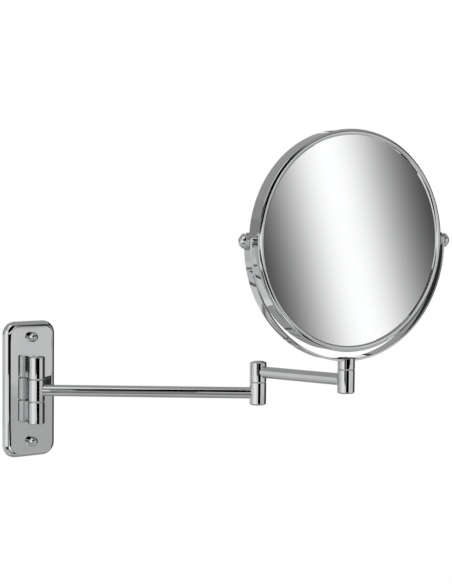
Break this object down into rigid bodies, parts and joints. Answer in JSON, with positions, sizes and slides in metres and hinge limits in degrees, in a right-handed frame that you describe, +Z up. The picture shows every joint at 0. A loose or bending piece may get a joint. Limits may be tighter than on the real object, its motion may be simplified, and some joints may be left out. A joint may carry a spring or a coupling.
{
  "type": "extendable shaving mirror",
  "caption": "Wall-mounted shaving mirror: hinged double arm, bent yoke, and a round double-sided mirror that swivels and tilts.",
  "frame": {"origin": "centre of the wall plate's back, on the wall plane, level with the first arm", "axes": "+Y into the wall, -Y out into the room, +Z up, +X to the right of someone facing the wall"},
  "size_m": [0.3355, 0.2947, 0.3115],
  "materials": {
    "chromed_brass": "polished chrome plate",
    "chromed_fittings": "polished chrome plate",
    "stainless_steel": "machined",
    "nylon": "moulded nylon",
    "plain_mirror": "silvered glass",
    "magnifying_mirror": "silvered glass, hollow",
    "card": "grey board",
    "foam": "closed-cell foam"
  },
  "bodies": {
    "base": {"wall_plate": "chromed_brass", "wall_studs": "stainless_steel", "dome_nuts": "chromed_fittings", "upper_knuckle": "chromed_brass", "lower_knuckle": "chromed_brass", "knuckle_screws": "stainless_steel", "hinge_pin": "stainless_steel", "hinge_plug": "chromed_fittings", "hinge_washers": "nylon"},
    "arm1": {"arm1_knuckle": "chromed_brass", "arm1_tube": "chromed_brass", "elbow_post": "chromed_brass", "elbow_foot_plug": "chromed_fittings"},
    "arm2": {"elbow_cap_post": "chromed_brass", "arm2_tube": "chromed_brass", "elbow_screw": "stainless_steel", "elbow_spring_washer": "stainless_steel", "elbow_washer": "nylon", "swivel_post": "chromed_brass", "swivel_foot_plug": "chromed_fittings"},
    "yoke": {"yoke_collar": "chromed_brass", "yoke_band": "chromed_brass", "swivel_screw": "stainless_steel", "swivel_spring_washer": "stainless_steel", "swivel_washer": "nylon"},
    "head": {"frame_band": "chromed_brass", "front_rim": "chromed_brass", "rear_rim": "chromed_brass", "plain_glass": "plain_mirror", "magnifying_glass": "magnifying_mirror", "backing_card": "card", "foam_ring": "foam", "pivot_studs": "stainless_steel", "pivot_spacers": "chromed_fittings", "inner_washers": "nylon", "outer_washers": "nylon", "cap_nuts": "chromed_fittings"}
  },
  "joints": [
    {"name": "wall_hinge", "type": "hinge", "parent": "base", "child": "arm1", "pos_m": [0, -0.0175, 0], "axis": [0, 0, 1], "range_deg": [-142.3, 37.7]},
    {"name": "elbow", "type": "hinge", "parent": "arm1", "child": "arm2", "pos_m": [0.16616, -0.14592, 0.02025], "axis": [0, 0, 1], "continuous": true},
    {"name": "swivel", "type": "hinge", "parent": "arm2", "child": "yoke", "pos_m": [0.19452, -0.23868, 0.0303], "axis": [0, 0, 1], "continuous": true},
    {"name": "tilt", "type": "hinge", "parent": "yoke", "child": "head", "pos_m": [0.19452, -0.23868, 0.1465], "axis": [0.9938, -0.1115, 0], "continuous": true}
  ]
}
